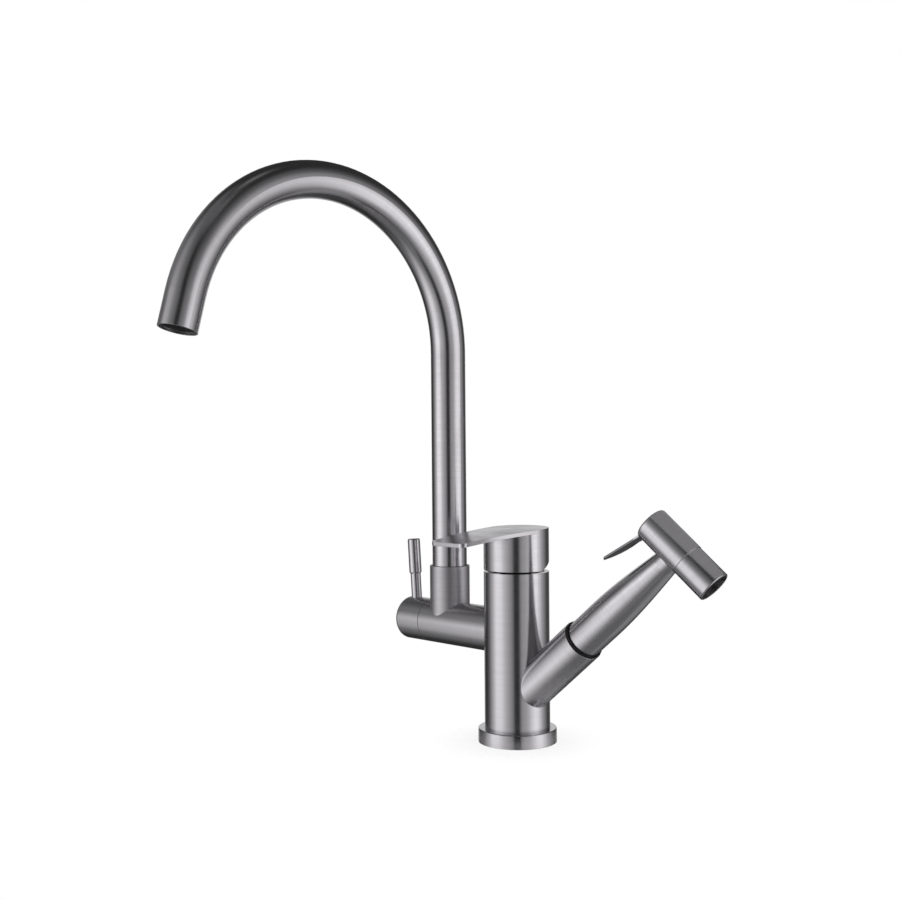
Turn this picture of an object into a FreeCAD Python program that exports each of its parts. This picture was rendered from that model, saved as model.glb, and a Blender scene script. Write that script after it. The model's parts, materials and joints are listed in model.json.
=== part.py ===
import FreeCAD, Part
import math
import os

from FreeCAD import Placement, Rotation, Vector

# Kitchen faucet: a column with a single lever, a side branch with a swivelling gooseneck and its own
# quarter-turn valve, and an angled dock that holds a trigger hand spray.
# Millimetres and degrees. The origin is the centre of the base on the deck, +Z is up, the spout points
# to -Y, the branch to -X and the dock to +X.

# Driving dimensions

# Column and base
column_d = 45.0
column_wall = 3.0
column_h = 117.0
flange_d = 54.0
flange_h = 9.6
edge_r = 0.8
gasket_t = 2.0
gasket_w = 3.0
shank_r = 15.8
bush_h = 12.0
running_gap = 0.05

# Valve block inside the column
block_drop = 12.3
inlet_r = 4.46
inlet_depth = 12.0
spray_port_depth = 6.0
inlet_x = 6.0
inlet_y = 7.0
outlet_x = -8.0
port_r = 3.2
branch_way_r = 6.0

# Mixing cartridge
cartridge_d = 35.0
cartridge_depth = 19.0
cartridge_wall = 2.0
nut_step = 1.5
nut_recess = 0.5
nut_notch_w = 4.0
nut_notch_depth = 3.0
shoulder_rise = 0.7
seal_t = 2.0
ceramic_t = 4.0
lapped_gap = 0.02
moving_disc_r = 10.0
disc_recess_r = 8.0
disc_recess_depth = 1.0
carrier_r = 10.4
carrier_flange_t = 3.0
carrier_rise = 4.0
carrier_pin_len = 19.6
slot_front = 8.5
slot_back = 7.1
pivot_rise = 2.0
stem_arm = 11.0
stem_w = 6.0
stem_rise = 19.0
ball_r = 2.0
ball_neck_r = 1.6
pivot_pin_r = 1.5
slot_gap = 0.3

# Lever
cap_gap = 1.3
cap_h = 28.8
cap_wall = 2.5
cap_roof = 4.0
lever_reach = 66.0
lever_tip_w = 31.0
lever_corner = 4.0
lever_t = 2.6
crown_r = 735.0
crown_back = 30.0
lift_max = 25.0
tilt_clear = 0.6
boss_r = 7.5
boss_rise = 10.0
handle_screw_r = 2.5
handle_screw_len = 8.0
handle_screw_rise = 14.5
plug_r = 3.5

# Side branch and its quarter-turn valve
branch_d = 31.3
branch_h = 74.3
branch_end = 85.0
branch_spigot_r = 9.0
branch_spigot_start = 16.0
headwork_r = 9.0
headwork_seat = 50.0
headwork_seal_t = 4.0
headwork_neck = 73.0
headwork_head = 76.0
headwork_head_r = 11.0
headwork_sink = 1.0
headwork_land = 1.5
valve_disc_r = 6.8
valve_disc_t = 3.0
valve_port_r = 1.9
valve_port_offset = 3.6
spindle_r = 4.0
spindle_waist_r = 2.4
spindle_end_r = 3.6
spindle_key_w = 3.2
spindle_key_t = 2.0
spindle_groove_depth = 1.0
knob_gap = 0.4
knob_len = 25.6
knob_round = 3.5
knob_socket = 13.5
pin_lean = 4.0
pin_at = 101.9
pin_tail_r = 2.6
pin_tail_len = 5.5
pin_sink = 2.5
pin_rod_r = 3.8
pin_grip_r = 4.6
pin_grip_start = 33.0
pin_top = 59.0
pin_edge = 1.0
knob_screw_r = 2.0
knob_screw_len = 5.0

# Spout
riser_x = 66.9
riser_d = 25.0
spout_wall = 1.2
riser_top = 269.4
bend_r = 110.8
spout_sweep = 165.0
outlet_len = 22.5
socket_d = 28.8
socket_rise = 41.8
spigot_clear = 1.05
spigot_len = 16.0
spigot_insert = 14.0
spigot_bore_r = 7.0
o_ring_w = 2.2
groove_offset = 2.0
spigot_groove_depth = 1.6
slip_ring_h = 3.0
slip_ring_t = 0.8
spout_screw_r = 2.0
spout_screw_drop = 3.0
spout_screw_tip = 1.0
screw_groove_depth = 1.4
screw_sink = 0.3
aerator_recess = 1.5
aerator_fit = 0.2
aerator_len = 8.0
aerator_wall = 1.7
aerator_core_sink = 2.0
aerator_hole_r = 1.15
aerator_hole_pitch = 3.5

# Dock
dock_angle = 39.6
dock_h = 26.5
dock_d = 29.0
dock_wall = 1.2
dock_len = 77.8
liner_start = 46.0
lip_t = 1.6
lip_d = 28.0
hose_way_r = 11.5

# Hand spray handle
grip_d = 25.8
spray_spigot_r = 11.0
seat_gap = 0.1
taper_start = 102.0
neck_d = 17.0
neck_at = 164.0
neck_slope = 0.105
head_at = 177.4
spray_roll = 8.0
water_way_r = 6.0
hose_socket_r = 8.0
hose_socket_depth = 14.0
washer_t = 1.6
clip_t = 1.2
clip_inset = 0.4
nipple_r = 6.0
nipple_bore_r = 4.0
nipple_len = 12.0
nipple_taper = 1.0
nipple_taper_len = 3.0

# Hand spray head
head_angle = 81.6
head_d = 22.4
head_back = 25.5
head_seam = 8.0
head_round = 1.8
head_wall = 1.9
chamber_r = 8.0
thread_r = 9.5
thread_len = 8.0
nozzle_d = 21.8
nozzle_end = 31.3
nozzle_lip = 1.2
nozzle_round = 0.8
plate_at = 26.0
plate_t = 2.5
plate_hole_r = 0.7
plate_hole_pitch = 3.7
hole_rim = 2.0
plate_shelf = 1.0
nozzle_seal_t = 1.5
nozzle_web_t = 2.0
nozzle_way_r = 6.4
seat_t = 4.0
seat_orifice_r = 3.2

# Trigger and plunger
trigger_arm = 8.5
trigger_at = -20.5
nose_at = -17.0
trigger_tilt = 19.0
trigger_len = 36.8
trigger_root_len = 8.5
trigger_offset = 4.2
trigger_root_t = 3.4
trigger_blade_t = 3.1
trigger_belly_t = 3.5
trigger_tip_t = 2.0
trigger_corner = 2.0
trigger_round = 1.4
trigger_slot_w = 7.0
trigger_hub_r = 2.6
trigger_pin_r = 1.2
trigger_pin_inset = 1.4
fork_t = 1.8
nose_r = 1.2
plunger_r = 1.8
plunger_head_r = 5.2
plunger_head_t = 3.0
plunger_seal_t = 1.95
plunger_nut_r = 4.2
plunger_nut_t = 1.2
guide_front = -9.0
guide_t = 4.0
guide_land = 1.0
guide_groove_depth = 1.5
spring_r = 3.6
spring_wire_r = 0.45
spring_turns = 5

# Derived sizes
column_r = column_d / 2
bore_r = column_r - column_wall
flange_r = flange_d / 2
cartridge_r = cartridge_d / 2
cavity_r = cartridge_r - cartridge_wall
block_top = column_h - cartridge_depth
pivot_h = column_h + pivot_rise
stem_top = pivot_h + stem_rise
boss_bottom = pivot_h + boss_rise
handle_screw_h = pivot_h + handle_screw_rise
cap_bottom = column_h + cap_gap
crown_top = cap_bottom + cap_h
branch_r = branch_d / 2
block_bottom = branch_h - block_drop
knob_start = branch_end + knob_gap
knob_end = knob_start + knob_len
riser_r = riser_d / 2
spout_bore_r = riser_r - spout_wall
aerator_r = spout_bore_r + aerator_fit
socket_r = socket_d / 2
socket_bore_r = riser_r + running_gap
socket_top = branch_h + socket_rise
spigot_bottom = branch_h + branch_r + spigot_clear
spigot_step = spigot_bottom + spigot_len
spout_screw_z = spigot_step - spout_screw_drop
dock_r = dock_d / 2
dock_bore_r = dock_r - dock_wall
lip_top = dock_len + lip_t
shoulder = lip_top + seat_gap
grip_r = grip_d / 2
neck_r = neck_d / 2
hose_step = liner_start + hose_socket_depth
head_r = head_d / 2
nozzle_r = nozzle_d / 2
thread_end = head_seam + thread_len
seat_face = thread_end - seat_t
fixed_disc_z = block_top + seal_t
moving_disc_z = fixed_disc_z + ceramic_t
moving_disc_top = moving_disc_z + ceramic_t
carrier_z = moving_disc_top + slot_gap
carrier_neck_z = carrier_z + carrier_flange_t
housing_shoulder = carrier_z + shoulder_rise
housing_roof = carrier_neck_z + slot_gap
housing_top = housing_roof + carrier_flange_t
carrier_top = pivot_h + carrier_rise
ball_z = pivot_h - stem_arm
socket_floor = ball_z - ball_r - slot_gap
valve_disc_z = headwork_seat + headwork_seal_t
moving_valve_z = valve_disc_z + valve_disc_t
spindle_z = moving_valve_z + valve_disc_t
socket_end = knob_start + knob_socket
far = 400.0


# Building blocks


def turned(*points):
    """Solid turned about Z from (radius, height) points."""
    corners = [Vector(r, 0, z) for r, z in points]
    outline = Part.makePolygon(corners + corners[:1])
    return Part.Face(outline).revolve(Vector(), Vector(0, 0, 1), 360)


def disc(r, z0, z1, x=0.0, y=0.0):
    return Part.makeCylinder(r, z1 - z0, Vector(x, y, z0))


def ring(outer, inner, z0, z1):
    return turned((inner, z0), (outer, z0), (outer, z1), (inner, z1))


def block(x0, x1, y0, y1, z0, z1):
    return Part.makeBox(x1 - x0, y1 - y0, z1 - z0, Vector(x0, y0, z0))


def crossbar(r, x, z, half):
    """Cylinder along Y, centred on the XZ plane."""
    return Part.makeCylinder(r, 2 * half, Vector(x, -half, z), Vector(0, 1, 0))


def rims(shape, r, z):
    """Circular edges of a given radius at a given height."""
    found = []
    for edge in shape.Edges:
        circle = edge.Curve
        if isinstance(circle, Part.Circle):
            if abs(circle.Radius - r) < 1e-4 and abs(circle.Center.z - z) < 1e-4:
                found.append(edge)
    return found


def rounded(shape, r, z, radius):
    return shape.makeFillet(radius, rims(shape, r, z))


def placed(shape, origin, tilt):
    """Copy whose Z axis leans by tilt degrees towards +X and whose origin is moved."""
    copy = shape.copy()
    copy.Placement = Placement(origin, Rotation(Vector(0, 1, 0), tilt)).multiply(shape.Placement)
    return copy


def on_branch(shape):
    """Local Z runs out along the branch and local X points up."""
    return placed(shape, Vector(0, 0, branch_h), -90)


def on_dock(shape):
    """Local Z runs out along the dock."""
    return placed(shape, Vector(0, 0, dock_h), 90 - dock_angle)


def on_head(shape):
    """Local Z runs to the nozzle and local X towards the handle, with the spray turned in its dock."""
    turned_up = Placement(Vector(), Rotation(Vector(0, 0, 1), spray_roll))
    bent = Placement(Vector(0, 0, head_at), Rotation(Vector(0, 1, 0), head_angle))
    copy = shape.copy()
    copy.Placement = turned_up.multiply(bent).multiply(shape.Placement)
    return on_dock(copy)


def on_riser(shape):
    return placed(shape, Vector(-riser_x, 0, 0), 0)


def on_outlet(shape):
    """Local Z runs out of the spout's end and local zero is the end face."""
    copy = placed(shape, Vector(-riser_x, 0, riser_top + outlet_len), 0)
    copy.rotate(Vector(-riser_x, -bend_r, riser_top), Vector(1, 0, 0), spout_sweep)
    return copy


# Column and base


def base_flange():
    groove_r = column_r + gasket_w
    body = turned((column_r, gasket_t), (groove_r, gasket_t), (groove_r, 0), (flange_r, 0),
                  (flange_r, flange_h), (column_r, flange_h))
    return rounded(body, flange_r, flange_h, edge_r)


def base_gasket():
    return ring(column_r + gasket_w, column_r, 0, gasket_t)


def base_bush():
    return ring(bore_r, shank_r, 0, bush_h)


def column_solid():
    return disc(column_r, -far, far)


def body_column():
    tube = ring(column_r, bore_r, 0, column_h)
    tube = tube.cut(on_branch(disc(branch_spigot_r, 0, column_d)))
    return tube.cut(on_dock(disc(hose_way_r, 0, 2 * column_d)))


def valve_block():
    body = disc(bore_r, block_bottom, block_top)
    for side in (-1, 1):
        body = body.cut(disc(inlet_r, block_bottom, block_bottom + inlet_depth, inlet_x, side * inlet_y))
        body = body.cut(disc(port_r, block_bottom, block_top, inlet_x, side * inlet_y))
    body = body.cut(disc(inlet_r, block_bottom, block_bottom + spray_port_depth, outlet_x))
    body = body.cut(disc(port_r, block_bottom, block_top, outlet_x))
    body = body.cut(on_branch(disc(branch_way_r, -outlet_x, column_d)))
    return body.cut(on_branch(disc(branch_spigot_r, branch_spigot_start, column_d)))


# Mixing cartridge


def ports(z0, z1, r):
    holes = [disc(r, z0, z1, inlet_x, side * inlet_y) for side in (-1, 1)]
    return holes + [disc(r, z0, z1, outlet_x)]


def cartridge_housing():
    neck = carrier_r + running_gap
    step_r = cartridge_r - nut_step
    return turned((cavity_r, block_top), (cartridge_r, block_top), (cartridge_r, housing_shoulder),
                  (step_r, housing_shoulder), (step_r, housing_top), (neck, housing_top),
                  (neck, housing_roof), (cavity_r, housing_roof))


def cartridge_seal():
    return disc(cavity_r, block_top, fixed_disc_z).cut(ports(block_top, fixed_disc_z, port_r))


def fixed_ceramic_disc():
    return disc(cavity_r, fixed_disc_z, moving_disc_z).cut(ports(fixed_disc_z, moving_disc_z, port_r))


def moving_ceramic_disc():
    z0 = moving_disc_z + lapped_gap
    body = disc(moving_disc_r, z0, moving_disc_top)
    body = body.cut(disc(disc_recess_r, z0, z0 + disc_recess_depth))
    return body.cut(disc(ball_r + slot_gap, socket_floor, moving_disc_top))


def cartridge_carrier():
    body = turned((0, carrier_z), (cavity_r - running_gap, carrier_z),
                  (cavity_r - running_gap, carrier_neck_z), (carrier_r, carrier_neck_z),
                  (carrier_r, carrier_top), (0, carrier_top))
    half = stem_w / 2 + slot_gap
    body = body.cut(block(-half, half, -slot_front, slot_back, carrier_z, carrier_top))
    return body.cut(pivot_bar(pivot_pin_r, 2 * carrier_r))


def pivot_bar(r, length):
    return Part.makeCylinder(r, length, Vector(-length / 2, 0, pivot_h), Vector(1, 0, 0))


def carrier_pin():
    return pivot_bar(pivot_pin_r, carrier_pin_len)


def cartridge_stem():
    half = stem_w / 2
    bar = block(-half, half, -half, half, pivot_h - stem_w, stem_top)
    neck = disc(ball_neck_r, ball_z, pivot_h - stem_w)
    ball = Part.makeSphere(ball_r, Vector(0, 0, ball_z))
    return bar.fuse([neck, ball]).cut(pivot_bar(pivot_pin_r + running_gap, stem_w * 2))


def cartridge_nut():
    top = column_h - nut_recess
    half = nut_notch_w / 2
    body = ring(bore_r, cartridge_r - nut_step, housing_shoulder, top)
    return body.cut(block(-bore_r, bore_r, -half, half, top - nut_notch_depth, top))


# Lever


def crown(depth):
    """Large cylinder that bounds the lever from above, lowered by depth."""
    centre = Vector(-far / 2, crown_back, crown_top - crown_r)
    return Part.makeCylinder(crown_r - depth, far, centre, Vector(1, 0, 0))


def lever_outline():
    """Plan of the lever: the round cap with two tangents to a straight tip."""
    half = lever_tip_w / 2
    to_corner = math.atan2(half, lever_reach)
    to_tangent = to_corner + math.acos(column_r / math.hypot(half, lever_reach))
    tx = column_r * math.sin(to_tangent)
    ty = -column_r * math.cos(to_tangent)
    right = Vector(tx, ty, 0)
    left = Vector(-tx, ty, 0)
    tip_right = Vector(half, -lever_reach, 0)
    tip_left = Vector(-half, -lever_reach, 0)
    edges = [Part.Arc(right, Vector(0, column_r, 0), left).toShape(),
             Part.makeLine(left, tip_left),
             Part.makeLine(tip_left, tip_right),
             Part.makeLine(tip_right, right)]
    prism = Part.Face(Part.Wire(edges)).extrude(Vector(0, 0, 2 * far))
    corners = [edge for edge in prism.Edges
               if abs(edge.CenterOfMass.y + lever_reach) < 1e-4 and edge.Length > far]
    return prism.makeFillet(lever_corner, corners)


def lift_cut():
    """Space under a plane that lies flat above the column when the lever is fully up."""
    lean = math.radians(lift_max)
    drop = (pivot_h - column_h - tilt_clear) / math.cos(lean)
    start = (cap_bottom - pivot_h + drop) / math.tan(lean)
    wedge = block(-far, far, 0, far, -far, 0)
    wedge.rotate(Vector(), Vector(1, 0, 0), lift_max)
    wedge.translate(Vector(0, start, cap_bottom))
    return wedge


def screw_bore(r, y0, y1):
    return Part.makeCylinder(r, y1 - y0, Vector(0, y0, handle_screw_h), Vector(0, 1, 0))


def lever_handle():
    half = stem_w / 2
    blade = lever_outline().common(crown(0).cut(crown(lever_t)))
    cap = disc(column_r, cap_bottom, far).common(crown(0))
    body = blade.fuse(cap).removeSplitter()
    cavity = disc(column_r - cap_wall, cap_bottom, far).common(crown(cap_roof))
    body = body.cut(cavity).cut(lift_cut())
    boss = disc(boss_r, boss_bottom, far).common(crown(cap_roof / 2))
    body = body.fuse(boss).removeSplitter()
    body = body.cut(block(-half, half, -half, half, boss_bottom, stem_top))
    body = body.cut(screw_bore(handle_screw_r, 0, boss_r))
    return body.cut(screw_bore(plug_r, boss_r, column_r))


def handle_grub_screw():
    start = stem_w / 2
    body = screw_bore(handle_screw_r, start, start + handle_screw_len)
    return body.cut(screw_bore(handle_screw_r / 2, start + handle_screw_len / 2, column_r))


def handle_plug():
    return screw_bore(plug_r, column_r - cap_wall, column_r).common(column_solid())


# Side branch and its quarter-turn valve


def branch_tube():
    body = on_branch(disc(branch_r, 0, branch_end)).cut(column_solid())
    body = body.fuse(on_branch(disc(branch_spigot_r, branch_spigot_start, column_d))).removeSplitter()
    body = body.cut(on_branch(disc(branch_way_r, 0, headwork_seat)))
    body = body.cut(on_branch(disc(headwork_r, headwork_seat, headwork_head)))
    body = body.cut(on_branch(disc(headwork_head_r, headwork_head, branch_end)))
    return body.cut(on_riser(disc(spigot_bore_r, branch_h, branch_h + branch_d)))


def headwork_seal():
    return on_branch(ring(headwork_r, branch_way_r, headwork_seat, valve_disc_z))


def headwork_body():
    neck = spindle_r + running_gap
    top = branch_end - headwork_sink
    body = turned((valve_disc_r, valve_disc_z), (headwork_r, valve_disc_z),
                  (headwork_r, headwork_head), (headwork_head_r, headwork_head),
                  (headwork_head_r, top), (neck, top),
                  (neck, headwork_neck), (valve_disc_r, headwork_neck))
    window = block(-headwork_r, headwork_r, -headwork_r / 2, headwork_r / 2,
                   spindle_z + valve_disc_t, headwork_neck - headwork_land)
    return on_branch(body.cut(window))


def valve_ports(z0, z1, x, y):
    return [disc(valve_port_r, z0, z1, side * x, side * y) for side in (-1, 1)]


def fixed_valve_disc():
    body = disc(valve_disc_r, valve_disc_z, moving_valve_z)
    return on_branch(body.cut(valve_ports(valve_disc_z, moving_valve_z, 0, valve_port_offset)))


def moving_valve_disc():
    z0 = moving_valve_z + lapped_gap
    body = disc(valve_disc_r - slot_gap, z0, spindle_z)
    return on_branch(body.cut(valve_ports(z0, spindle_z, valve_port_offset, 0)))


def spindle_groove():
    start = headwork_head + groove_offset
    return (start, start + o_ring_w)


def valve_spindle():
    bar_half = valve_disc_r - slot_gap
    key_top = spindle_z + spindle_key_t
    key_half = spindle_key_w / 2
    start, end = spindle_groove()
    floor = spindle_r - spindle_groove_depth
    waist_end = headwork_neck + slot_gap
    bar = block(-key_half, key_half, -bar_half, bar_half, spindle_z, key_top)
    bar = bar.common(disc(bar_half, spindle_z, key_top))
    shaft = turned((0, spindle_z), (spindle_waist_r, spindle_z), (spindle_waist_r, waist_end),
                   (spindle_r, waist_end), (spindle_r, start), (floor, start), (floor, end),
                   (spindle_r, end), (spindle_r, knob_start), (spindle_end_r, knob_start),
                   (spindle_end_r, socket_end), (0, socket_end))
    return on_branch(shaft.fuse(bar).removeSplitter())


def spindle_o_ring():
    start, end = spindle_groove()
    return on_branch(ring(spindle_r + running_gap / 2, spindle_r - spindle_groove_depth, start, end))


def valve_pin():
    foot = branch_r - pin_sink
    tail = foot - pin_tail_len
    bar = turned((0, tail), (pin_tail_r, tail), (pin_tail_r, foot), (pin_rod_r, foot),
                 (pin_rod_r, pin_grip_start), (pin_grip_r, pin_grip_start + pin_edge),
                 (pin_grip_r, pin_top), (0, pin_top))
    bar = rounded(bar, pin_grip_r, pin_top, pin_edge)
    return on_branch(placed(bar, Vector(0, 0, pin_at), 90 - pin_lean))


def knob_screw_bore(inner, outer):
    at = knob_start + knob_socket / 2
    bar = Part.makeCylinder(knob_screw_r, outer - inner, Vector(-inner, 0, at), Vector(-1, 0, 0))
    return on_branch(bar)


def valve_knob():
    body = disc(branch_r, knob_start, knob_end)
    body = rounded(body, branch_r, knob_end, knob_round)
    body = on_branch(body.cut(disc(spindle_end_r, knob_start, socket_end)))
    body = body.cut(knob_screw_bore(0, branch_r))
    return body.cut(valve_pin())


def knob_screw():
    return knob_screw_bore(spindle_end_r, spindle_end_r + knob_screw_len)


# Spout


def spout_socket():
    top_r = socket_bore_r + slip_ring_t
    shelf = socket_top - slip_ring_h
    body = turned((socket_bore_r, branch_h), (socket_r, branch_h), (socket_r, socket_top),
                  (top_r, socket_top), (top_r, shelf), (socket_bore_r, shelf))
    body = on_riser(body).cut(on_branch(disc(branch_r, 0, knob_end)))
    return body.cut(spout_screw_bore(0, socket_r))


def slip_ring():
    return on_riser(ring(socket_bore_r + slip_ring_t, socket_bore_r, socket_top - slip_ring_h, socket_top))


def screw_groove():
    half = spout_screw_r + slot_gap
    return (spout_screw_z - half, spout_screw_z + half)


def spout_screw_bore(y0, y1):
    return Part.makeCylinder(spout_screw_r, y1 - y0, Vector(-riser_x, y0, spout_screw_z), Vector(0, 1, 0))


def spout_grub_screw():
    return spout_screw_bore(riser_r - spout_screw_tip, socket_r - screw_sink)


def o_ring_grooves():
    first = spigot_bottom + groove_offset
    second = first + 2 * o_ring_w
    return [(first, first + o_ring_w), (second, second + o_ring_w)]


def spout_spigot():
    top = spigot_step + spigot_insert
    body = turned((spigot_bore_r, spigot_bottom), (riser_r, spigot_bottom), (riser_r, spigot_step),
                  (spout_bore_r, spigot_step), (spout_bore_r, top), (spigot_bore_r, top))
    body = body.cut(ring(riser_r, riser_r - screw_groove_depth, *screw_groove()))
    for z0, z1 in o_ring_grooves():
        body = body.cut(ring(riser_r, riser_r - spigot_groove_depth, z0, z1))
    return on_riser(body)


def spigot_o_rings():
    outer = socket_bore_r - running_gap / 2
    inner = riser_r - spigot_groove_depth
    return Part.makeCompound([on_riser(ring(outer, inner, z0, z1)) for z0, z1 in o_ring_grooves()])


def spout_bar(r):
    """Round bar of radius r up the riser, round the bend and straight out to the end."""
    section = Part.Face(Part.Wire(Part.makeCircle(r, Vector(-riser_x, 0, riser_top))))
    bend = section.revolve(Vector(-riser_x, -bend_r, riser_top), Vector(1, 0, 0), spout_sweep)
    riser = on_riser(disc(r, spigot_step, riser_top))
    return riser.fuse([bend, on_outlet(disc(r, -outlet_len, 0))])


def spout_tube():
    seat = on_outlet(disc(aerator_r, -aerator_recess - aerator_len - seal_t, outlet_len))
    return spout_bar(riser_r).cut([spout_bar(spout_bore_r), seat]).removeSplitter()


def aerator_housing():
    end = -aerator_recess
    return on_outlet(ring(aerator_r, aerator_r - aerator_wall, end - aerator_len, end))


def hole_pattern(hole_r, pitch, r, z0, z1):
    """One hole in the middle and rings of six, twelve and so on, as many as fit in the radius r."""
    holes = [disc(hole_r, z0, z1)]
    for k in range(1, int((r - hole_rim) / pitch) + 1):
        for i in range(6 * k):
            angle = math.pi * i / (3 * k)
            holes.append(disc(hole_r, z0, z1, k * pitch * math.cos(angle), k * pitch * math.sin(angle)))
    return holes


def aerator_core():
    r = aerator_r - aerator_wall
    z0 = -aerator_recess - aerator_len
    z1 = -aerator_recess - aerator_core_sink
    return on_outlet(disc(r, z0, z1).cut(hole_pattern(aerator_hole_r, aerator_hole_pitch, r, z0, z1)))


def aerator_seal():
    end = -aerator_recess - aerator_len
    return on_outlet(ring(aerator_r, aerator_r - 2 * aerator_wall, end - seal_t, end))


# Dock


def dock_sleeve():
    body = ring(dock_r, dock_bore_r, 0, dock_len)
    return on_dock(body).cut(column_solid())


def dock_liner():
    inner = spray_spigot_r + running_gap
    return on_dock(turned((inner, liner_start), (dock_bore_r, liner_start), (dock_bore_r, dock_len),
                          (lip_d / 2, dock_len), (lip_d / 2, lip_top), (inner, lip_top)))


# Hand spray handle


def handle_profile():
    """Half outline of the handle: spigot, shoulder, straight grip, smooth taper and neck."""
    points = [(neck_r, neck_at), (neck_r, head_at), (0, head_at), (0, liner_start),
              (spray_spigot_r, liner_start), (spray_spigot_r, shoulder), (grip_r, shoulder),
              (grip_r, taper_start)]
    corners = [Vector(r, 0, z) for r, z in points]
    third = (neck_at - taper_start) / 3
    taper = Part.BezierCurve()
    taper.setPoles([corners[-1], corners[-1] + Vector(0, 0, third),
                    corners[0] + Vector(neck_slope * third, 0, -third), corners[0]])
    edges = [Part.makeLine(a, b) for a, b in zip(corners, corners[1:])]
    return Part.Face(Part.Wire(edges + [taper.toShape()]))


def head_solid():
    return on_head(disc(head_r, -head_back, nozzle_end))


def spray_handle():
    body = handle_profile().revolve(Vector(), Vector(0, 0, 1), 360)
    body = body.cut(disc(hose_socket_r, liner_start, hose_step))
    body = body.cut(disc(water_way_r, hose_step, head_at))
    return on_dock(body).cut(head_solid())


def hose_washer():
    return on_dock(ring(hose_socket_r, nipple_bore_r, hose_step - washer_t, hose_step))


def hose_clip():
    start = liner_start + clip_inset
    return on_dock(ring(hose_socket_r, nipple_r + slot_gap, start, start + clip_t))


def hose_connector():
    collar_r = hose_socket_r - running_gap
    collar_start = liner_start + clip_inset + clip_t + seat_gap
    collar_end = hose_step - washer_t - seat_gap
    start = liner_start - nipple_len
    body = turned((nipple_bore_r, start), (nipple_r - nipple_taper, start),
                  (nipple_r, start + nipple_taper_len), (nipple_r, collar_start),
                  (collar_r, collar_start), (collar_r, collar_end), (nipple_bore_r, collar_end))
    return on_dock(body)


# Hand spray head


def spray_head():
    inner_back = -head_back + head_wall
    body = turned((0, -head_back), (head_r, -head_back), (head_r, head_seam), (thread_r, head_seam),
                  (thread_r, thread_end), (0, thread_end))
    body = rounded(body, head_r, -head_back, head_round)
    body = body.cut(disc(chamber_r, inner_back, thread_end))
    half = trigger_slot_w / 2
    inner = trigger_arm - trigger_hub_r - slot_gap
    notch_end = nose_at + fork_t / 2 + slot_gap
    notch = block(inner, 2 * head_r, -half, half, -2 * head_back, notch_end)
    body = body.cut(notch).cut(crossbar(trigger_pin_r, trigger_arm, trigger_at, pin_half()))
    return on_head(body).cut(on_dock(disc(water_way_r, neck_at - head_r, head_at)))


def pin_half():
    chord = math.sqrt(head_r ** 2 - trigger_arm ** 2)
    return chord - trigger_pin_inset


def trigger_pin():
    return on_head(crossbar(trigger_pin_r, trigger_arm, trigger_at, pin_half()))


def valve_seat():
    return on_head(ring(chamber_r, seat_orifice_r, seat_face, thread_end))


def nozzle_o_ring():
    return on_head(ring(thread_r, nozzle_way_r, thread_end, thread_end + nozzle_seal_t))


def nozzle_collar():
    web = thread_end + nozzle_seal_t
    web_end = web + nozzle_web_t
    inner = nozzle_r - nozzle_lip
    shelf = inner - plate_shelf
    body = turned((thread_r, head_seam), (nozzle_r, head_seam), (nozzle_r, nozzle_end),
                  (inner, nozzle_end), (inner, plate_at), (shelf, plate_at), (shelf, web_end),
                  (nozzle_way_r, web_end), (nozzle_way_r, web), (thread_r, web))
    return on_head(rounded(body, nozzle_r, nozzle_end, nozzle_round))


def spray_plate():
    r = nozzle_r - nozzle_lip
    z1 = plate_at + plate_t
    return on_head(disc(r, plate_at, z1).cut(hole_pattern(plate_hole_r, plate_hole_pitch, r, plate_at, z1)))


# Trigger and plunger


def trigger_profile(start):
    """Side outline of the trigger blade along local X, from inside its root block to the slim tip."""
    back = -trigger_offset
    neck = Vector(trigger_root_len, 0, back + trigger_blade_t)
    tip = Vector(trigger_len, 0, back + trigger_tip_t)
    belly = Vector((neck.x + tip.x) / 2, 0, back + trigger_belly_t)
    corners = [tip, Vector(trigger_len, 0, back), Vector(start, 0, back),
               Vector(start, 0, back + trigger_blade_t), neck]
    edges = [Part.makeLine(a, b) for a, b in zip(corners, corners[1:])]
    edges.append(Part.Arc(neck, belly, tip).toShape())
    return Part.Face(Part.Wire(edges))


def trigger_fork(width):
    """Two prongs with round noses beside the plunger, and the post that carries them from the pivot."""
    half = width / 2
    prongs = block(0, trigger_arm, -half, half, nose_at - fork_t / 2, nose_at + fork_t / 2)
    post = block(trigger_arm - trigger_hub_r, trigger_arm, -half, half, trigger_at, nose_at)
    body = prongs.fuse([post, crossbar(nose_r, 0, nose_at, half)])
    gap = plunger_r + slot_gap
    return body.cut(block(-2 * nose_r, trigger_arm / 2, -gap, gap, trigger_at, nose_at + 2 * nose_r))


def trigger_blade(width):
    """Blade with its outer edges rounded for the fingers, on a square root block."""
    start = trigger_root_len / 2
    outline = trigger_profile(start)
    outline.translate(Vector(0, -width / 2, 0))
    blade = outline.extrude(Vector(0, width, 0))
    ends = [edge for edge in blade.Edges
            if abs(edge.CenterOfMass.x - trigger_len) < 1e-4 and edge.Length < width / 2]
    blade = blade.makeFillet(trigger_corner, ends)
    outer = [edge for edge in blade.Edges
             if edge.BoundBox.ZMax < 1e-4 - trigger_offset and edge.BoundBox.XMax > start + 1e-4]
    blade = blade.makeFillet(trigger_round, outer)
    root = block(0, trigger_root_len, -width / 2, width / 2, -trigger_offset, trigger_root_t - trigger_offset)
    return placed(blade.fuse(root), Vector(trigger_arm, 0, trigger_at), trigger_tilt)


def trigger_lever():
    width = trigger_slot_w - 2 * slot_gap
    hub = crossbar(trigger_hub_r, trigger_arm, trigger_at, width / 2)
    body = trigger_blade(width).fuse([hub, trigger_fork(width)]).removeSplitter()
    return on_head(body.cut(crossbar(trigger_pin_r + running_gap, trigger_arm, trigger_at, width)))


def nut_front():
    return nose_at - nose_r - seat_gap


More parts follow.
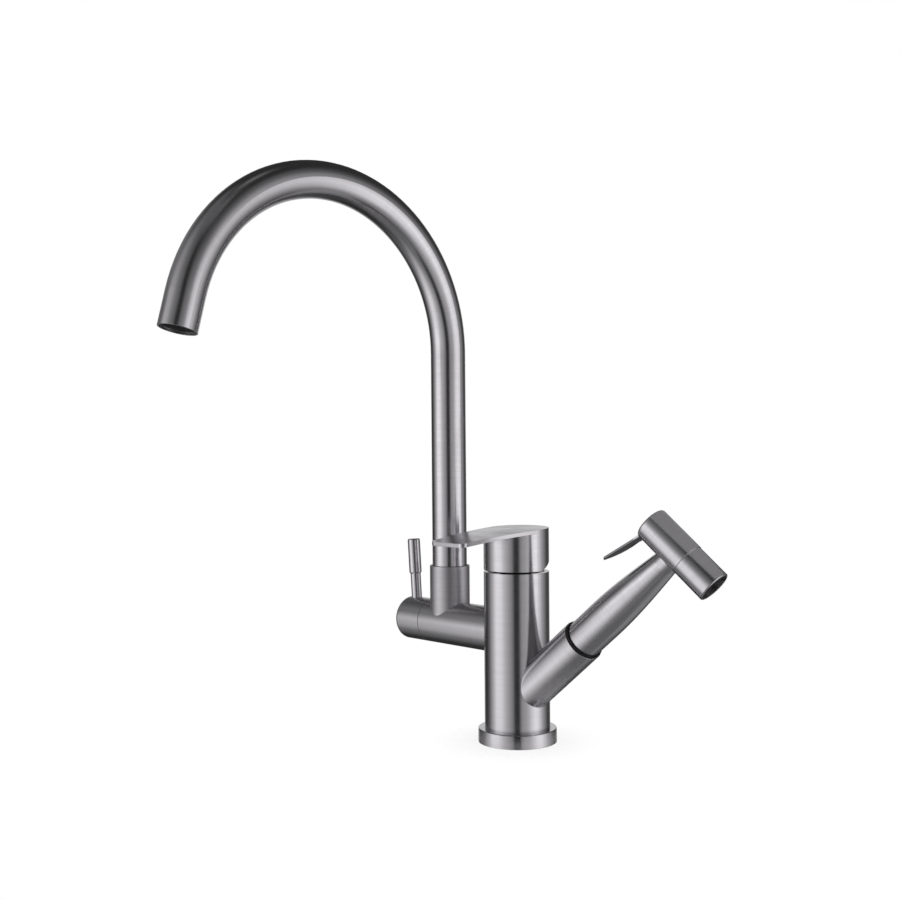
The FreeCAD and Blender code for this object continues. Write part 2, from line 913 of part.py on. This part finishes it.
def head_disc_back():
    return seat_face - running_gap - plunger_seal_t - plunger_head_t


def plunger():
    back = head_disc_back()
    front = back + plunger_head_t
    start = nut_front() - plunger_nut_t
    return on_head(turned((0, start), (plunger_r, start), (plunger_r, back), (plunger_head_r, back),
                          (plunger_head_r, front), (0, front)))


def plunger_nut():
    return on_head(ring(plunger_nut_r, plunger_r, nut_front() - plunger_nut_t, nut_front()))


def plunger_seal():
    front = seat_face - running_gap
    return on_head(disc(plunger_head_r, front - plunger_seal_t, front))


def plunger_guide():
    inner = plunger_r + running_gap
    back = guide_front - guide_t
    body = ring(chamber_r, inner, back, guide_front)
    groove = ring(inner + guide_groove_depth, inner, back + guide_land, guide_front - guide_land)
    return on_head(body.cut(groove))


def guide_o_ring():
    outer = plunger_r + running_gap + guide_groove_depth
    back = guide_front - guide_t + guide_land
    return on_head(ring(outer, plunger_r + running_gap / 2, back, guide_front - guide_land))


def coil_point(turns, pitch):
    angle = 2 * math.pi * turns
    return Vector(spring_r * math.cos(angle), spring_r * math.sin(angle), pitch * turns)


def coil_direction(turns, pitch):
    angle = 2 * math.pi * turns
    round_one = 2 * math.pi * spring_r
    return Vector(-round_one * math.sin(angle), round_one * math.cos(angle), pitch).normalize()


def arc_leaving(start, direction, end):
    """Arc between two points that leaves the first one in a given direction."""
    chord = end - start
    across = direction - chord * (direction.dot(chord) / chord.dot(chord))
    rise = math.tan(direction.getAngle(chord) / 2) * chord.Length / 2
    return Part.Arc(start, (start + end) / 2 + across.normalize() * rise, end).toShape()


def tangent_arcs(p0, t0, p1, t1):
    """Two arcs that join smoothly and keep the directions t0 and t1 at their ends."""
    chord = p1 - p0
    along = chord.dot(t0 + t1)
    spread = 2 * (1 - t0.dot(t1))
    reach = (math.sqrt(along ** 2 + spread * chord.dot(chord)) - along) / spread
    middle = (p0 + p1 + (t0 - t1) * reach) / 2
    return [arc_leaving(p0, t0, middle), arc_leaving(p1, t1 * -1, middle)]


def plunger_spring():
    length = head_disc_back() - guide_front - 2 * spring_wire_r
    halves = round(2 * spring_turns)
    pitch = 2 * length / halves
    edges = []
    for i in range(halves):
        start = i / 2
        end = (i + 1) / 2
        edges += tangent_arcs(coil_point(start, pitch), coil_direction(start, pitch),
                              coil_point(end, pitch), coil_direction(end, pitch))
    section = Part.makeCircle(spring_wire_r, coil_point(0, pitch), coil_direction(0, pitch))
    coil = Part.Wire(edges).makePipeShell([Part.Wire(section)], True, False)
    coil.translate(Vector(0, 0, guide_front + spring_wire_r))
    return on_head(coil)


# Export


def export():
    os.makedirs("parts", exist_ok=True)
    makers = [
        base_flange, base_gasket, base_bush, body_column, valve_block,
        cartridge_housing, cartridge_seal, fixed_ceramic_disc, moving_ceramic_disc, cartridge_carrier,
        carrier_pin, cartridge_stem, cartridge_nut, lever_handle, handle_grub_screw, handle_plug,
        branch_tube, headwork_seal, headwork_body, fixed_valve_disc, moving_valve_disc, valve_spindle,
        spindle_o_ring, valve_knob, valve_pin, knob_screw,
        spout_socket, slip_ring, spout_grub_screw, spout_spigot, spigot_o_rings, spout_tube,
        aerator_housing, aerator_core, aerator_seal,
        dock_sleeve, dock_liner, spray_handle, hose_washer, hose_clip, hose_connector,
        spray_head, trigger_pin, valve_seat, nozzle_o_ring, nozzle_collar, spray_plate,
        trigger_lever, plunger, plunger_nut, plunger_seal, plunger_guide, guide_o_ring, plunger_spring,
    ]
    for maker in makers:
        maker().exportStep("parts/" + maker.__name__ + ".step")


export()
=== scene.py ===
import json
from math import cos, pi, radians, sin

import bmesh
import bpy
from mathutils import Euler, Matrix, Vector


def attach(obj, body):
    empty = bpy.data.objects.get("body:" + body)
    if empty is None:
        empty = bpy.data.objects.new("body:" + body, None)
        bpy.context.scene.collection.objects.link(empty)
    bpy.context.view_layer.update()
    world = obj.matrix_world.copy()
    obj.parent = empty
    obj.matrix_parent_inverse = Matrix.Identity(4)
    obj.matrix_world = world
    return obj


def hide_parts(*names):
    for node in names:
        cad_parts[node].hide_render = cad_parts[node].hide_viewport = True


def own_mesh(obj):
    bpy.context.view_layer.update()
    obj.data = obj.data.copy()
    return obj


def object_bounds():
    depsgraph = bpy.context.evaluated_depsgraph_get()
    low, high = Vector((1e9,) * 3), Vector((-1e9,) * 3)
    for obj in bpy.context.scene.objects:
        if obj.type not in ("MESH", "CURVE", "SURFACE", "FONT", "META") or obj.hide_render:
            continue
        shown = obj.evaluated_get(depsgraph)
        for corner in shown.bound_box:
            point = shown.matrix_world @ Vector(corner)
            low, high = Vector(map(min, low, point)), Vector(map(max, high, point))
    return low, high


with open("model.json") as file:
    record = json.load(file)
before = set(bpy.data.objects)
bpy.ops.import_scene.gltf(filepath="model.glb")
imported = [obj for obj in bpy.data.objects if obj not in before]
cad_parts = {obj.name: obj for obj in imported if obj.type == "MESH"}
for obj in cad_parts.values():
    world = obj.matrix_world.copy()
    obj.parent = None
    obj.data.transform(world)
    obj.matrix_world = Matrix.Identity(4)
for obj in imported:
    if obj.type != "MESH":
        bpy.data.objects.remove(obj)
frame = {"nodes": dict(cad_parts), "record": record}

cad_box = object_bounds()

# Axes of the faucet, in metres
UP = Vector((0, 0, 1))
BRANCH_POINT = Vector((0, 0, 0.0743))
BRANCH_AXIS = Vector((-1, 0, 0))
RISER_POINT = Vector((-0.0669, 0, 0))
DOCK_POINT = Vector((0, 0, 0.0265))
DOCK_AXIS = Vector((cos(radians(39.6)), 0, sin(radians(39.6))))
HEAD_POINT = Vector((0.13669, 0, 0.13958))
HEAD_AXIS = Vector((0.7370, 0.1377, -0.6617))
PIN_POINT = Vector((-0.1019, 0, 0.0743))
TRIGGER_POINT = Vector((0.10028, -0.00362, 0.14291))
TRIGGER_OUT = Vector((-0.4787, -0.1368, 0.8672))
BEND_CENTRE = Vector((-0.0669, -0.1108, 0.2694))
BEND_R = 0.1108

# Camera, fitted to the straight edges of the faucet in the photograph
CAMERA_PLACE = Vector((0.6026, -0.6288, 0.2157))
CAMERA_HEADING = radians(46.74)
CAMERA_PITCH = radians(1.0)
CAMERA_ROLL = radians(-0.478)
CAMERA_LENS = 50.68
CAMERA_SENSOR = 36.0

# Brushed steel, with a faint tint. Its fine lines and wider bands are noises that change fast along the
# axis and slowly round it, and marks of handling lie over them
STEEL_TINT = (1.01, 0.983, 1.025)
STEEL_TONE = 0.68
TONE_SPREAD = 0.07
GLOSS_SPREAD = 0.05
LINES = 6000.0
LINES_ROUND = 45.0
BANDS = LINES / 9
BANDS_ROUND = 15.0
LINES_SHARE = 0.6
HANDLING = 35.0
BRUSH_DEPTH = 0.00004
TANGENT_SPREAD = 60.0
SQUARE_FACE = (0.9, 0.98)
END_ROUGH = 0.14
FINE_EDGE_R = 0.00025

# Inner metals, and moulded plastic, rubber and ceramic
STAIN = 120.0
STAIN_TONE = 0.82
TOOL_MARKS = 900.0
TOOL_MARK_DEPTH = 0.00003
SHADE = 90.0
SHADE_TONE = 0.8
GRAIN = 2400.0

# Middle part of a noise that takes the whole change of tone or gloss
NOISE_MIDDLE = (0.3, 0.7)
SOFT_MIDDLE = (0.35, 0.65)

# Painted shade on the trigger: a dark tone over its sides and underside, which starts a little below the
# outer face
PAINTED_SHADE_START = 0.0011
PAINTED_SHADE_BLEND = 0.0003
PAINTED_SHADE_TONE = (0.06, 0.06, 0.063)

# Plunger spring
COIL_R = 0.0036
COIL_WIRE_R = 0.00045
COIL_TURNS = 5
COIL_STEPS = 24
COIL_SIDES = 10
COIL_GAP = 0.00005

# Dark tent. Each opening has (degrees, share) stops for its width, round from the camera to its right,
# and for its height above the horizon
TENT_R = 3.0
TENT_CENTRE = Vector((0, 0, 0.18))
TENT_CLOTH = 0.03
LEFT_WIDTHS = ((-132, 0.0), (-115, 0.13), (-94, 0.57), (-80, 1.0), (-70, 1.0), (-60, 0.96), (-43, 0.58),
               (-17, 0.22), (-11, 0.0))
RIGHT_WIDTHS = ((4, 0.0), (11, 0.27), (18, 0.36), (33, 0.46), (60, 1.0), (72, 1.0), (82, 0.75), (102, 0.32),
                (126, 0.04))
LEFT_HEIGHTS = ((-85, 0.0), (-60, 0.3), (-30, 0.95), (-12, 0.92), (-4, 1.0), (2, 1.0), (20, 0.42), (45, 0.26),
                (70, 0.0))
RIGHT_HEIGHTS = ((-85, 0.0), (-60, 0.3), (-30, 1.0), (-3, 1.0), (6, 0.88), (18, 0.42), (40, 0.14), (65, 0.0))
LEFT_WING = ((-150, 0.0), (-125, 0.12), (-98, 0.2), (-80, 0.0))
LEFT_WING_HEIGHTS = ((-62, 0.0), (-44, 1.0), (-26, 1.0), (-12, 0.0), (13, 0.0), (24, 1.0), (34, 1.0),
                     (50, 0.0))
RIGHT_WING = ((80, 0.0), (95, 0.24), (135, 0.24), (150, 0.0))
RIGHT_WING_HEIGHTS = ((-80, 0.0), (-68, 1.0), (-38, 1.0), (-25, 0.0))
BACK_WIDTHS = ((-180, 1.0), (-168, 1.0), (-148, 0.0), (148, 0.0), (168, 1.0), (180, 1.0))
BACK_HEIGHTS = ((-22, 0.0), (-15, 0.45), (-6, 0.45), (1, 0.62), (14, 0.62), (28, 0.0))
BELOW_WIDTHS = ((-180, 1.0), (180, 1.0))
BELOW_HEIGHTS = ((-90, 0.12), (-74, 0.12), (-64, 0.08), (-54, 0.0))
FRONT_WIDTHS = ((-70, 0.0), (-45, 1.0), (5, 1.0), (30, 0.0))
FRONT_HEIGHTS = ((-74, 0.0), (-66, 0.18), (-58, 0.18), (-46, 0.0))
ABOVE_WIDTHS = ((-125, 0.0), (-105, 1.0), (10, 1.0), (25, 0.0))
ABOVE_HEIGHTS = ((46, 0.0), (58, 0.1), (70, 0.1), (80, 0.0))
TOP_WIDTHS = ((-180, 1.0), (180, 1.0))
TOP_HEIGHTS = ((79, 0.0), (86, 0.16), (90, 0.16))
CORNER_WIDTHS = ((-172, 0.0), (-152, 0.2), (-130, 0.2), (-115, 0.0))
CORNER_HEIGHTS = ((6, 0.0), (14, 1.0), (30, 1.0), (42, 0.0))
OPENINGS = ((LEFT_WIDTHS, LEFT_HEIGHTS), (RIGHT_WIDTHS, RIGHT_HEIGHTS), (LEFT_WING, LEFT_WING_HEIGHTS),
            (RIGHT_WING, RIGHT_WING_HEIGHTS), (BACK_WIDTHS, BACK_HEIGHTS), (BELOW_WIDTHS, BELOW_HEIGHTS),
            (FRONT_WIDTHS, FRONT_HEIGHTS), (ABOVE_WIDTHS, ABOVE_HEIGHTS), (TOP_WIDTHS, TOP_HEIGHTS),
            (CORNER_WIDTHS, CORNER_HEIGHTS))

# Level discs: the grey cards, each with its centre and radius, and the floor
DISC_POINTS = 96
CARDS = ((Vector((0.165, 0.035, 0.216)), 0.1), (Vector((0.05, 0.165, 0.226)), 0.11))
FLOOR_R = 0.065
FLOOR_SOLID_R = 0.028
FLOOR_COVER = 0.2

# Softboxes, which face the middle of the set
SET_CENTRE = Vector((-0.02, -0.05, 0.2))
SOFTBOX_DISTANCE = 1.6
SOFTBOX_SIZE = 1.0
SOFTBOX_RADIANCE = 0.15


# Node helpers


def add(tree, kind, inputs=None, **settings):
    """New node. An input is a plain value or the output that feeds it."""
    node = tree.nodes.new("ShaderNode" + kind)
    for name, value in settings.items():
        setattr(node, name, value)
    for name, value in (inputs or {}).items():
        socket = node.inputs[name]
        if isinstance(value, bpy.types.NodeSocket):
            tree.links.new(value, socket)
        else:
            socket.default_value = value
    return node


def number(tree, operation, a, b=0.0):
    return add(tree, "Math", {0: a, 1: b}, operation=operation).outputs[0]


def vector(tree, operation, a, b=(0, 0, 0)):
    node = add(tree, "VectorMath", {0: a, 1: b}, operation=operation)
    return node.outputs["Value" if operation == "DOT_PRODUCT" else "Vector"]


def scaled(tree, a, factor):
    node = add(tree, "VectorMath", {0: a, "Scale": factor}, operation="SCALE")
    return node.outputs["Vector"]


def span(tree, value, low, high, to_low=0.0, to_high=1.0):
    """Smooth step from to_low at low to to_high at high."""
    node = add(tree, "MapRange", {0: value, 1: low, 2: high, 3: to_low, 4: to_high},
               interpolation_type="SMOOTHSTEP")
    return node.outputs[0]


def linear(tree, value, low, high, to_low, to_high):
    return add(tree, "MapRange", {0: value, 1: low, 2: high, 3: to_low, 4: to_high}).outputs[0]


def noise(tree, place, scale, detail=2.0, roughness=0.5):
    node = add(tree, "TexNoise", {"Vector": place, "Scale": scale, "Detail": detail, "Roughness": roughness})
    return node.outputs[0]


def blend(tree, factor, a, b):
    node = add(tree, "MixRGB", {0: factor, 1: (*a, 1), 2: (*b, 1)})
    return node.outputs[0]


def object_place(tree):
    return add(tree, "TexCoord").outputs["Object"]


def new_material(name):
    material = bpy.data.materials.new(name)
    material.use_nodes = True
    tree = material.node_tree
    return material, tree, tree.nodes["Principled BSDF"]


# Run of a turned or drawn piece: its axis, the distance along it and the offset from it


def straight_run(point, axis):
    def run(tree):
        place = vector(tree, "SUBTRACT", object_place(tree), point)
        along = vector(tree, "DOT_PRODUCT", place, axis)
        foot = scaled(tree, axis, along)
        return axis, along, vector(tree, "SUBTRACT", place, foot)
    return run


def gooseneck_run(tree):
    """Up the riser, then round the bend."""
    place = vector(tree, "SUBTRACT", object_place(tree), BEND_CENTRE)
    parts = add(tree, "SeparateXYZ", {0: place})
    above = number(tree, "MAXIMUM", parts.outputs[2], 0.0)
    below = number(tree, "MINIMUM", parts.outputs[2], 0.0)
    spoke = add(tree, "CombineXYZ", {0: 0.0, 1: parts.outputs[1], 2: above}).outputs[0]
    axis = vector(tree, "NORMALIZE", vector(tree, "CROSS_PRODUCT", (1, 0, 0), spoke))
    angle = number(tree, "ARCTAN2", above, parts.outputs[1])
    along = number(tree, "ADD", number(tree, "MULTIPLY", angle, BEND_R), below)
    foot = scaled(tree, vector(tree, "NORMALIZE", spoke), BEND_R)
    level = add(tree, "CombineXYZ", {0: 0.0, 1: 0.0, 2: below}).outputs[0]
    offset = vector(tree, "SUBTRACT", vector(tree, "SUBTRACT", place, foot), level)
    return axis, along, offset


# Materials


def brushed_steel(name, run, rough=0.2, stretch=0.5, edge_r=0.0004, end_rough=0.0):
    """Stainless steel with fine lines brushed round the axis, and reflections drawn out along it.

    end_rough is added on faces square to the axis, which are ground and not turned.
    """
    material, tree, shader = new_material(name)
    axis, along, offset = run(tree)
    line_lift = scaled(tree, axis, number(tree, "MULTIPLY", along, LINES))
    lines = noise(tree, vector(tree, "ADD", line_lift, scaled(tree, offset, LINES_ROUND)), 1.0, 3.0, 0.65)
    band_lift = scaled(tree, axis, number(tree, "MULTIPLY", along, BANDS))
    bands = noise(tree, vector(tree, "ADD", band_lift, scaled(tree, offset, BANDS_ROUND)), 1.0, 2.0, 0.5)
    handling = noise(tree, object_place(tree), HANDLING, 3.0, 0.6)
    line_part = number(tree, "MULTIPLY", lines, LINES_SHARE)
    band_part = number(tree, "MULTIPLY", bands, 1 - LINES_SHARE)
    brush = number(tree, "ADD", line_part, band_part)
    dark = [(1 - TONE_SPREAD) * STEEL_TONE * part for part in STEEL_TINT]
    pale = [(1 + TONE_SPREAD) * STEEL_TONE * part for part in STEEL_TINT]
    colour = blend(tree, linear(tree, brush, *NOISE_MIDDLE, 0.0, 1.0), dark, pale)
    tree.links.new(colour, shader.inputs["Base Color"])
    gloss = linear(tree, brush, *NOISE_MIDDLE, rough + GLOSS_SPREAD, rough - GLOSS_SPREAD)
    worn = number(tree, "ADD", gloss, linear(tree, handling, *NOISE_MIDDLE, -0.02, 0.03))
    if end_rough:
        facing = vector(tree, "DOT_PRODUCT", add(tree, "TexCoord").outputs["Normal"], axis)
        square = span(tree, number(tree, "ABSOLUTE", facing), *SQUARE_FACE, 0.0, end_rough)
        worn = number(tree, "ADD", worn, square)
    tree.links.new(worn, shader.inputs["Roughness"])
    edge = add(tree, "Bevel", {"Radius": edge_r}, samples=4).outputs[0]
    bump = add(tree, "Bump", {"Strength": 0.05, "Distance": BRUSH_DEPTH, "Height": brush, "Normal": edge})
    tree.links.new(bump.outputs[0], shader.inputs["Normal"])
    drawn = vector(tree, "ADD", axis, scaled(tree, offset, TANGENT_SPREAD))
    tangent = add(tree, "VectorTransform", {0: drawn}, vector_type="VECTOR",
                  convert_from="OBJECT", convert_to="WORLD")
    tree.links.new(tangent.outputs[0], shader.inputs["Tangent"])
    shader.inputs["Metallic"].default_value = 1.0
    shader.inputs["Anisotropic"].default_value = stretch
    return material


def painted_trigger_shade(material):
    """Painted shade on the trigger: a dark tone over its sides and underside, left off along its rounded
    outer face.
    """
    tree = material.node_tree
    colour = tree.nodes["Principled BSDF"].inputs["Base Color"]
    steel = colour.links[0].from_socket
    inward = vector(tree, "SUBTRACT", TRIGGER_POINT, object_place(tree))
    below = vector(tree, "DOT_PRODUCT", inward, TRIGGER_OUT)
    # mask of the painted shade: dark below the outer face, plain steel on it
    painted_shade = span(tree, below, PAINTED_SHADE_START - PAINTED_SHADE_BLEND, PAINTED_SHADE_START + PAINTED_SHADE_BLEND)
    mixed = add(tree, "MixRGB", {0: painted_shade, 1: steel, 2: (*PAINTED_SHADE_TONE, 1)})
    tree.links.new(mixed.outputs[0], colour)
    return material


def machined_metal(name, tone, rough):
    """Turned inner metal: fine tool marks and a faint stain."""
    material, tree, shader = new_material(name)
    place = object_place(tree)
    stain = noise(tree, place, STAIN, 4.0, 0.6)
    marks = noise(tree, vector(tree, "MULTIPLY", place, (1, 1, 12)), TOOL_MARKS, 2.0, 0.5)
    dark = [STAIN_TONE * part for part in tone]
    colour = blend(tree, linear(tree, stain, *SOFT_MIDDLE, 0.0, 1.0), dark, tone)
    tree.links.new(colour, shader.inputs["Base Color"])
    tree.links.new(linear(tree, marks, *NOISE_MIDDLE, rough - 0.06, rough + 0.08), shader.inputs["Roughness"])
    bump = add(tree, "Bump", {"Strength": 0.15, "Distance": TOOL_MARK_DEPTH, "Height": marks})
    tree.links.new(bump.outputs[0], shader.inputs["Normal"])
    shader.inputs["Metallic"].default_value = 1.0
    return material


def moulded(name, tone, rough, depth=0.00004, shine=0.5):
    """Moulded plastic, rubber or ceramic: a fine sparked grain and slight shade changes."""
    material, tree, shader = new_material(name)
    place = object_place(tree)
    shade = noise(tree, place, SHADE, 3.0, 0.5)
    spark = noise(tree, place, GRAIN, 2.0, 0.6)
    dark = [SHADE_TONE * part for part in tone]
    colour = blend(tree, linear(tree, shade, *SOFT_MIDDLE, 0.0, 1.0), dark, tone)
    tree.links.new(colour, shader.inputs["Base Color"])
    tree.links.new(linear(tree, spark, *NOISE_MIDDLE, rough - 0.05, rough + 0.08), shader.inputs["Roughness"])
    bump = add(tree, "Bump", {"Strength": 0.25, "Distance": depth, "Height": spark})
    tree.links.new(bump.outputs[0], shader.inputs["Normal"])
    shader.inputs["Specular IOR Level"].default_value = shine
    return material


def dress():
    """Every node gets the finish chosen for it, or else the one of its material slot."""
    column = straight_run(Vector(), UP)
    branch = straight_run(BRANCH_POINT, BRANCH_AXIS)
    riser = straight_run(RISER_POINT, UP)
    dock = straight_run(DOCK_POINT, DOCK_AXIS)
    head = straight_run(HEAD_POINT, HEAD_AXIS)
    pin = straight_run(PIN_POINT, UP)
    finishes = (
        (brushed_steel("column_steel", column, edge_r=FINE_EDGE_R), ["body_column"]),
        (brushed_steel("flange_steel", column, rough=0.08, stretch=0.3), ["base_flange"]),
        (brushed_steel("lever_steel", column, rough=0.21, edge_r=FINE_EDGE_R), ["lever_handle"]),
        (brushed_steel("branch_steel", branch, end_rough=END_ROUGH), ["branch_tube", "valve_knob"]),
        (brushed_steel("socket_steel", riser, rough=0.46), ["spout_socket", "spout_spigot"]),
        (brushed_steel("spout_steel", gooseneck_run), ["spout_tube"]),
        (brushed_steel("dock_steel", dock), ["dock_sleeve", "spray_handle"]),
        (brushed_steel("head_steel", head, edge_r=0.0006, end_rough=END_ROUGH),
         ["spray_head", "nozzle_collar"]),
        # the trigger's steel gets painted shade everywhere but its outer face
        (painted_trigger_shade(brushed_steel("trigger_steel", dock, rough=0.3)), ["trigger_lever"]),
        (brushed_steel("pin_steel", pin, rough=0.16, stretch=0.4), ["valve_pin"]),
        # cartridge nut, housing and carrier are toned near black: painted shade for the gap under the lever
        # cap, darker than these parts are
        (machined_metal("nut_painted_shade", (0.03, 0.03, 0.032), 0.35), ["cartridge_nut"]),
        (moulded("cartridge_painted_shade", (0.045, 0.045, 0.048), 0.45), ["cartridge_housing", "cartridge_carrier"]),
        (moulded("liner_black", (0.01, 0.01, 0.011), 0.5, shine=0.2), ["dock_liner"]),
        (moulded("plate_black", (0.014, 0.014, 0.015), 0.5, shine=0.25), ["spray_plate"]),
    )
    by_slot = {
        "hardware_steel": machined_metal("hardware_steel", (0.52, 0.52, 0.53), 0.36),
        "brass": machined_metal("cast_brass", (0.72, 0.52, 0.25), 0.34),
        "rubber": moulded("seal_rubber", (0.022, 0.022, 0.024), 0.62),
        "black_plastic": moulded("black_plastic", (0.016, 0.016, 0.018), 0.42),
        "grey_plastic": moulded("grey_plastic", (0.03, 0.031, 0.033), 0.5),
        "ceramic": moulded("lapped_ceramic", (0.86, 0.85, 0.82), 0.16, depth=0.00001),
    }
    slots = {part["node"]: part["material_slot"] for part in frame["record"]["subparts"]}
    chosen = {node: material for material, nodes in finishes for node in nodes}
    for name, piece in frame["nodes"].items():
        piece.data.materials.clear()
        piece.data.materials.append(chosen.get(name) or by_slot[slots[name]])
        for face in piece.data.polygons:
            face.material_index = 0


# Spring


def plunger_coil():
    """Spring behind the plunger, as one wound wire."""
    node = frame["nodes"]["plunger_spring"]
    places = [HEAD_AXIS.dot(point.co - HEAD_POINT) for point in node.data.vertices]
    fixed = min(places)
    room = max(places) - fixed
    margin = COIL_WIRE_R + COIL_GAP
    length = room - 2 * margin
    across = HEAD_AXIS.orthogonal().normalized()
    beside = HEAD_AXIS.cross(across)
    steps = COIL_TURNS * COIL_STEPS
    points = []
    last_ring = steps * COIL_SIDES
    faces = [tuple(range(COIL_SIDES)), tuple(last_ring + k for k in reversed(range(COIL_SIDES)))]
    for step in range(steps + 1):
        turn = 2 * pi * step / COIL_STEPS
        out = cos(turn) * across + sin(turn) * beside
        along = fixed + margin + length * step / steps
        middle = HEAD_POINT + along * HEAD_AXIS + COIL_R * out
        for side in range(COIL_SIDES):
            angle = 2 * pi * side / COIL_SIDES
            points.append(middle + COIL_WIRE_R * (cos(angle) * out + sin(angle) * HEAD_AXIS))
            if step < steps:
                corner = step * COIL_SIDES + side
                beyond = step * COIL_SIDES + (side + 1) % COIL_SIDES
                faces.append((corner, corner + COIL_SIDES, beyond + COIL_SIDES, beyond))
    mesh = bpy.data.meshes.new("plunger_coil")
    mesh.from_pydata(points, [], faces)
    mesh.shade_smooth()
    mesh.materials.append(node.data.materials[0])
    piece = bpy.data.objects.new("plunger_coil", mesh)
    bpy.context.scene.collection.objects.link(piece)
    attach(piece, "spray")
    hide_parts("plunger_spring")
    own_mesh(piece)


# Studio


def disc_mesh(name, r):
    mesh = bpy.data.meshes.new(name)
    angles = [2 * pi * k / DISC_POINTS for k in range(DISC_POINTS)]
    rim = [(r * cos(angle), r * sin(angle), 0) for angle in angles]
    mesh.from_pydata(rim, [], [tuple(range(DISC_POINTS))])
    return mesh


def staged(name, mesh):
    """New piece of the set."""
    piece = bpy.data.objects.new(name, mesh)
    bpy.context.scene.collection.objects.link(piece)
    return piece


def floor():
    """Small pale disc under the base that fades into the white surroundings."""
    material, tree, shader = new_material("floor")
    place = object_place(tree)
    distance = add(tree, "VectorMath", {0: place}, operation="LENGTH").outputs["Value"]
    grain = noise(tree, place, 300.0, 3.0)
    colour = blend(tree, grain, (0.97, 0.97, 0.97), (0.985, 0.985, 0.985))
    tree.links.new(colour, shader.inputs["Base Color"])
    tree.links.new(span(tree, distance, FLOOR_SOLID_R, FLOOR_R, FLOOR_COVER, 0.0), shader.inputs["Alpha"])
    shader.inputs["Roughness"].default_value = 0.8
    shader.inputs["Specular IOR Level"].default_value = 0.1
    piece = staged("floor", disc_mesh("floor", FLOOR_R))
    piece.location.z = cad_box[0][2]
    piece.data.materials.append(material)


def falloff(tree, angle, stops):
    """Value by angle, from (degrees, value) stops."""
    low = stops[0][0]
    size = stops[-1][0] - low
    place = linear(tree, angle, radians(low), radians(low + size), 0.0, 1.0)
    node = add(tree, "ValToRGB", {0: place})
    ramp = node.color_ramp
    while len(ramp.elements) < len(stops):
        ramp.elements.new(0.5)
    for element, (degrees, value) in zip(ramp.elements, stops):
        element.position = (degrees - low) / size
        element.color = (value, value, value, 1)
    return node.outputs[0]


def tent():
    """Dark cloth round the set, open to the white surroundings mainly at both sides and behind.

    Only reflections see it, as only polished metal shows a photographer's flags.
    """
    material, tree, shader = new_material("tent_cloth")
    tree.nodes.remove(shader)
    place = vector(tree, "NORMALIZE", object_place(tree))
    parts = add(tree, "SeparateXYZ", {0: place})
    azimuth = number(tree, "ARCTAN2", parts.outputs[0], number(tree, "MULTIPLY", parts.outputs[1], -1.0))
    elevation = number(tree, "ARCSINE", parts.outputs[2])
    opening = 0.0
    for widths, heights in OPENINGS:
        window = number(tree, "MULTIPLY", falloff(tree, azimuth, widths), falloff(tree, elevation, heights))
        opening = number(tree, "MAXIMUM", opening, window)
    cloth = add(tree, "BsdfDiffuse", {"Color": (TENT_CLOTH, TENT_CLOTH, TENT_CLOTH, 1)})
    clear = add(tree, "BsdfTransparent")
    mixed = add(tree, "MixShader", {0: opening, 1: cloth.outputs[0], 2: clear.outputs[0]})
    tree.links.new(mixed.outputs[0], tree.nodes["Material Output"].inputs["Surface"])
    mesh = bpy.data.meshes.new("tent")
    piece = staged("tent", mesh)
    ball = bmesh.new()
    bmesh.ops.create_icosphere(ball, subdivisions=5, radius=TENT_R)
    ball.to_mesh(mesh)
    ball.free()
    mesh.materials.append(material)
    piece.location = TENT_CENTRE
    piece.rotation_euler.z = CAMERA_HEADING
    unseen(piece)


def fill_cards():
    """Level grey cards above the spray head and behind the lever, seen only from below."""
    material, tree, shader = new_material("fill_card")
    grain = noise(tree, object_place(tree), 60.0)
    colour = blend(tree, grain, (0.26, 0.26, 0.26), (0.3, 0.3, 0.3))
    tree.links.new(colour, shader.inputs["Base Color"])
    tree.links.new(add(tree, "NewGeometry").outputs["Backfacing"], shader.inputs["Alpha"])
    shader.inputs["Roughness"].default_value = 1.0
    shader.inputs["Specular IOR Level"].default_value = 0.0
    for count, (place, r) in enumerate(CARDS, 1):
        name = f"fill_card_{count}"
        piece = staged(name, disc_mesh(name, r))
        piece.location = place
        piece.data.materials.append(material)
        unseen(piece)


def unseen(piece):
    """Leaves a piece to reflections alone."""
    piece.visible_camera = False
    piece.visible_diffuse = False
    piece.visible_shadow = False


def softbox(name, turn, height):
    """Wide weak lamp at one side of the camera that faces the faucet."""
    light = bpy.data.lights.new(name, "AREA")
    light.shape = "RECTANGLE"
    light.size = SOFTBOX_SIZE
    light.size_y = SOFTBOX_SIZE
    light.energy = SOFTBOX_RADIANCE * pi * SOFTBOX_SIZE * SOFTBOX_SIZE
    lamp = bpy.data.objects.new(name, light)
    bpy.context.scene.collection.objects.link(lamp)
    angle = CAMERA_HEADING - pi / 2 + radians(turn)
    lamp.location = SET_CENTRE + SOFTBOX_DISTANCE * Vector((cos(angle), sin(angle), height))
    lamp.rotation_euler = (SET_CENTRE - lamp.location).to_track_quat("-Z", "Y").to_euler()


def surroundings():
    world = bpy.data.worlds.new("white_studio")
    world.use_nodes = True
    background = world.node_tree.nodes["Background"]
    background.inputs["Color"].default_value = (1, 1, 1, 1)
    background.inputs["Strength"].default_value = 1.0
    bpy.context.scene.world = world


def camera():
    lens = bpy.data.cameras.new("photo_view")
    lens.sensor_width = CAMERA_SENSOR
    lens.lens = CAMERA_LENS
    eye = bpy.data.objects.new("photo_view", lens)
    bpy.context.scene.collection.objects.link(eye)
    level = Euler((pi / 2 - CAMERA_PITCH, 0, CAMERA_HEADING)).to_matrix()
    eye.location = CAMERA_PLACE
    eye.rotation_euler = (level @ Matrix.Rotation(CAMERA_ROLL, 3, "Z")).to_euler()
    bpy.context.scene.camera = eye


camera()
surroundings()
floor()
tent()
fill_cards()
softbox("left_softbox", turn=-72, height=0.15)
softbox("right_softbox", turn=61, height=0.1)
dress()
plunger_coil()
bpy.context.scene.view_settings.view_transform = "Standard"
